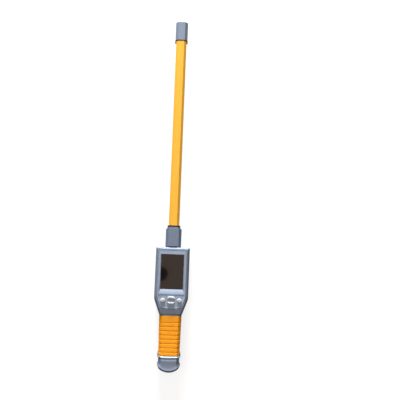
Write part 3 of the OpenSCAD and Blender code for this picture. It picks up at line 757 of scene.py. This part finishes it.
def sleeve():
    """The ribbed cover of the grip, open at both ends."""
    first_y = SLEEVE_Y0 + FIRST_GROOVE
    pitch = (SLEEVE_Y1 - LAST_GROOVE - first_y) / (GROOVES - 1)
    outer = [sleeve_station(SLEEVE_Y0, 1.0), sleeve_station(SLEEVE_Y0 + 0.15, 0.5),
             sleeve_station(SLEEVE_Y0 + 0.55, 0.15), sleeve_station(SLEEVE_Y0 + 1.1)]
    for i in range(GROOVES):
        outer += [sleeve_station(first_y + i * pitch + step, sink) for step, sink in GROOVE_PROFILE]
    outer += [sleeve_station(SLEEVE_Y1 - 0.3), sleeve_station(SLEEVE_Y1 - 0.1, 0.1),
              sleeve_station(SLEEVE_Y1, 0.3), sleeve_station(SLEEVE_Y1, 0.8)]
    bore = HANDLE_W + FIT, HANDLE_D + FIT, HANDLE_CUT
    inner = [(SLEEVE_Y1, *bore, 0), (SLEEVE_Y0, *bore, 1)]

    def bend(x, fade):
        return fade * end_rise(x, SLEEVE_HALF, SLEEVE_END_R)

    bm = bmesh.new()
    skin(bm, bar_loops(outer + inner, 0.9, 6, bend), closed=True)
    return as_object("grip_cover", bm)


finish_piece(sleeve(), "root", ORANGE_RUBBER, ["grip_sleeve"], 50)

# ---- End cap ----
CROWN_R = 32.8
CAP_RIM_Y = 35.1
EAR_Y = span("end_cap", "y")[1]
MOUTH_Y = 60.0          # a level past the cap's ears
# y, width, depth, corner cut, share of the crown's curve, reach of the rounding
CAP_STATIONS = [
    (0, 41.0, 18.4, 4.2, 1, 0), (0, 42.2, 19.6, 4.5, 1, 0.5), (4.4, 49.8, 32.6, 7.2, 1, 0.5),
    (5.1, 50.2, 33.0, 7.4, 1, 0.5), (6.8, 49.6, 32.2, 7.3, 1, 1), (11.0, 47.2, 31.6, 6.9, 0.9, 3),
    (17.0, 45.2, 32.2, 6.4, 0.5, 3), (24.0, 45.6, 33.4, 6.6, 0.15, 2), (26.8, 46.0, 33.2, 6.6, 0.2, 0.8),
    (28.6, 45.0, 31.0, 6.4, 0.2, 0.5), (30.2, 45.4, 31.0, 6.4, 0.2, 0.5),
    (31.1, 50.4, 33.6, 7.5, 0.2, 0.5), (31.8, 50.8, 34.0, 7.5, 0.2, 0.5),
    (34.8, 50.4, 29.6, 7.2, 0.1, 0.6), (42.6, 49.4, 29.6, 7.2, 0, 0.6), (EAR_Y, 48.2, 29.0, 7.0, 0, 0)]


def crown_bend(x, share):
    """How far the arched foot has risen at x."""
    return share * (CROWN_R - math.sqrt(CROWN_R * CROWN_R - x * x))


def cap_solid():
    """The cap's outside: crown, flared lip, waist, rim and ears."""
    stations = soften(CAP_STATIONS)
    width, depth, cut = stations[0][1:4]
    bottom = [(0, width - 2 * k, depth - 2 * k, max(cut - CUT_GROWTH * k, 0.5), 1)
              for k in (9.5, 7, 4.5, 2.5, 1)]
    bm = bmesh.new()
    solid(bm, bar_loops(bottom, 0.2, 8, crown_bend) + bar_loops(stations, 0.9, 8, crown_bend))
    return as_object("pull_cap", bm)


def cap():
    """The cap with the opening between its ears, the socket for the handle and the plug inside it."""
    piece = cap_solid()
    half = SLEEVE_HALF + MOVING_GAP
    corner = CAP_RIM_Y, SLEEVE_END_R + MOVING_GAP
    opening = [(-half - 1.5, MOUTH_Y, 0.2), (-half, *corner), (half, *corner), (half + 1.5, MOUTH_Y, 0.2)]
    levels = -PAST, 2 * AXIS_Z + PAST
    carve(piece, "DIFFERENCE", [[(p.x, p.y, z) for p in rounded_loop(opening, 0, 8)] for z in levels])
    plug_w, plug_d, plug_cut = HANDLE_W - 2 * HANDLE_WALL - 1, HANDLE_D - 2 * HANDLE_WALL - 1, 4.1
    plug = plug_w, plug_d, plug_cut
    tapered = plug_w - 1, plug_d - 1, plug_cut
    groove = plug_w - 2, plug_d - 2, plug_cut
    pocket = plug_w - 4, plug_d - 4, plug_cut - 1
    socket = HANDLE_W + 2 * MOVING_GAP, HANDLE_D + 2 * MOVING_GAP, HANDLE_CUT
    path = [(MOUTH_Y, *socket), (26.5, *socket), (26.5, *plug), (29, *plug), (29, *groove), (31.2, *groove),
            (31.2, *plug), (33.5, *plug), (34, *tapered), (34, *pocket), (20, *pocket)]
    carve(piece, "DIFFERENCE", bar_loops(path, 0.5))
    return piece


finish_piece(cap(), "end_cap", HOUSING, ["end_cap"])


# ---- Collar, probe tube and tip ----
COLLAR_STEP_Y = 310.0


def collar():
    """The stepped collar and its spigot, with the tube's bore through both."""
    y0, y1 = span("collar_gasket", "y")[1], span("tube_seal", "y")[0]
    neck_y0 = HEAD_TOP - WALL
    main = span("probe_collar", "x")[1] * 2, 30.4, 6.0
    lip = 29.4, 27.6, 6.0
    spigot = SPIGOT_W, SPIGOT_W, SPIGOT_CUT
    bore = TUBE_W + 2 * FIT, TUBE_W + 2 * FIT, TUBE_CUT
    path = soften([
        (neck_y0, *bore, 0), (neck_y0, *spigot, 0.2), (y0, *spigot, 0.1), (y0, *main, 0.7),
        (COLLAR_STEP_Y - 0.1, *main, 0.1), (COLLAR_STEP_Y, *lip, 0.2), (y1, *lip, 0.4), (y1, *bore, 0)])
    bm = bmesh.new()
    skin(bm, bar_loops(path, 0.8), closed=True)
    return as_object("tube_collar", bm)


finish_piece(collar(), "root", COLLAR_PAINTED_SHADE_PLASTIC, ["probe_collar"])


def tube():
    """The square probe tube with its chamfered edges."""
    y0, y1 = span("probe_tube", "y")
    outside = TUBE_W, TUBE_W, TUBE_CUT
    bore = TUBE_W - 2 * TUBE_WALL, TUBE_W - 2 * TUBE_WALL, TUBE_CUT - BORE_CUT_STEP
    path = soften([(y0, *bore, 0), (y0, *outside, 0.3), (y1, *outside, 0.3), (y1, *bore, 0)])
    bm = bmesh.new()
    skin(bm, bar_loops(path, 0.7, 1), closed=True)
    return as_object("probe_rod", bm)


finish_piece(tube(), "root", AMBER, ["probe_tube"])


def tip():
    """The closed cap over the tube's end, with the seat for its seal and the hollow for the sensor."""
    y0, y1 = span("tip_cap", "y")
    seal_y = span("tip_seal", "y")[1]
    seat_y = span("probe_tube", "y")[1] + FIT
    width = span("tip_cap", "x")[1] * 2
    main = width, width, 6.4
    edge = width - 0.7, width - 0.7, 6.2
    brim = width - 0.4, width - 0.4, 6.3
    mouth = TUBE_W + 2.4, TUBE_W + 2.4, 6.2
    bore = TUBE_W + 2 * FIT, TUBE_W + 2 * FIT, TUBE_CUT
    hollow = width - 6, width - 6, 4.6
    path = soften([
        (y1, *edge, 0), (y1 - 0.35, *main, 0.2), (y0 + 0.2, *main, 0.2), (y0, *brim, 0.1),
        (y0, *mouth, 0.1), (seal_y, *mouth, 0.1), (seal_y, *bore, 0.1), (seat_y, *bore, 0.1),
        (seat_y, *hollow, 0.1), (y1 - 3, *hollow, 0)])
    bm = bmesh.new()
    solid(bm, bar_loops(path, 0.6))
    return as_object("sensor_tip", bm)


finish_piece(tip(), "root", HOUSING, ["tip_cap"])

# ---- Stage ----
EYE = Vector((-0.009, -0.1823, 1.42))
EYE_TILT = [math.radians(a) for a in (6.699, -2.888, 2.039)]
LENS_MM = 56.8
KEY_LIGHT_AT = Vector((-0.26, 3.6, 0.59))
KEY_LIGHT_AIM = Vector((0, -0.15, 0.03))
KEY_LIGHT_WATTS = 510
KEY_LIGHT_SIZE = 0.9
SHADOW_CASTERS = ("front_housing", "back_housing", "grip_cover", "pull_cap",
                  "left_key_cap", "right_key_cap", "up_key_cap", "down_key_cap")
SKY_LOBE = Vector((-0.2, 0.08, 1)).normalized()
SKY_EDGE, SKY_CORE = 0.68, 0.84
SKY_LOW, SKY_TOP = 0.06, 1.22
SKY_COLOR = (1.0, 0.94, 0.87, 1)
FLOOR_SIZE = 8
FLOOR_BOUNCE = 0.12
FLOOR_GLOW = 0.8
FLOOR_SHADE = (0.27, 0.27, 0.27, 1)
DISC_R = 0.031
DISC_OFFSET = Vector((-0.031, 0, 0.005))


def add_camera():
    """A camera far above the head that looks a little past it, rolled so that the probe leans right."""
    data = bpy.data.cameras.new("camera")
    data.lens = LENS_MM
    data.sensor_width = 36.0
    camera = bpy.data.objects.new("camera", data)
    scene.collection.objects.link(camera)
    camera.location = EYE
    camera.rotation_euler = EYE_TILT
    scene.camera = camera


def matt(name, grey):
    """A material without gloss, as new_material() gives it."""
    material, tree, shader = new_material(name)
    shader.inputs["Base Color"].default_value = (grey, grey, grey, 1)
    shader.inputs["Roughness"].default_value = 1
    shader.inputs["Specular IOR Level"].default_value = 0
    return material, tree, shader


def camera_sees(tree, lit, shown, output):
    """Gives the camera's own rays the shader shown, and all others the shader lit."""
    switch = tree.nodes.new("ShaderNodeMixShader")
    tree.links.new(tree.nodes.new("ShaderNodeLightPath").outputs["Is Camera Ray"], switch.inputs[0])
    tree.links.new(lit.outputs[0], switch.inputs[1])
    tree.links.new(shown.outputs[0], switch.inputs[2])
    tree.links.new(switch.outputs[0], tree.nodes[output].inputs["Surface"])


def add_floor():
    """A pale floor. To the camera it glows, so that it shows white with faint shadows."""
    bpy.ops.mesh.primitive_plane_add(size=FLOOR_SIZE, location=(0, 0, -0.0001))
    floor = bpy.context.object
    floor.name = "floor"
    material, tree, shader = matt("pale floor", FLOOR_BOUNCE)
    glow = tree.nodes.new("ShaderNodeEmission")
    glow.inputs["Strength"].default_value = FLOOR_GLOW
    faint = tree.nodes.new("ShaderNodeBsdfDiffuse")
    faint.inputs["Color"].default_value = FLOOR_SHADE
    both = tree.nodes.new("ShaderNodeAddShader")
    tree.links.new(glow.outputs[0], both.inputs[0])
    tree.links.new(faint.outputs[0], both.inputs[1])
    camera_sees(tree, shader, both, "Material Output")
    floor.data.materials.append(material)


def add_sky():
    """A soft light overhead, with little light from the sides. To the camera it is white."""
    scene.world = bpy.data.worlds.new("sky")
    scene.world.use_nodes = True
    tree = scene.world.node_tree
    background = tree.nodes["Background"]
    direction = tree.nodes.new("ShaderNodeTexCoord").outputs["Generated"]
    toward = tree.nodes.new("ShaderNodeVectorMath")
    toward.operation = "DOT_PRODUCT"
    toward.inputs[1].default_value = SKY_LOBE
    tree.links.new(direction, toward.inputs[0])
    ramp = tree.nodes.new("ShaderNodeMapRange")
    ramp.interpolation_type = "SMOOTHSTEP"
    ramp.inputs["From Min"].default_value = SKY_EDGE
    ramp.inputs["From Max"].default_value = SKY_CORE
    ramp.inputs["To Min"].default_value = SKY_LOW
    ramp.inputs["To Max"].default_value = SKY_TOP
    tree.links.new(toward.outputs["Value"], ramp.inputs["Value"])
    tree.links.new(ramp.outputs["Result"], background.inputs["Strength"])
    background.inputs["Color"].default_value = SKY_COLOR
    plain = tree.nodes.new("ShaderNodeBackground")
    plain.inputs["Color"].default_value = (1, 1, 1, 1)
    camera_sees(tree, background, plain, "World Output")


def add_key_light():
    """A large soft box beyond the probe's tip. Only the pieces in SHADOW_CASTERS block its light."""
    data = bpy.data.lights.new("key light", "AREA")
    data.energy = KEY_LIGHT_WATTS
    data.size = KEY_LIGHT_SIZE
    lamp = bpy.data.objects.new("key light", data)
    scene.collection.objects.link(lamp)
    lamp.location = KEY_LIGHT_AT
    lamp.rotation_mode = "QUATERNION"
    lamp.rotation_quaternion = (KEY_LIGHT_AT - KEY_LIGHT_AIM).to_track_quat("Z", "Y")
    casters = bpy.data.collections.new("shadow casters")
    for name in SHADOW_CASTERS:
        casters.objects.link(bpy.data.objects[name])
    lamp.light_linking.blocker_collection = casters


def add_dark_disc():
    """The dark round shape beside the camera that shows in the display as a reflection."""
    bpy.ops.mesh.primitive_circle_add(radius=DISC_R, fill_type="NGON", location=EYE + DISC_OFFSET)
    disc = bpy.context.object
    disc.name = "dark disc"
    disc.data.materials.append(matt("matt black card", 0.004)[0])
    disc.visible_camera = False


scene.view_settings.view_transform = "Standard"
add_camera()
add_floor()
add_sky()
add_key_light()
add_dark_disc()
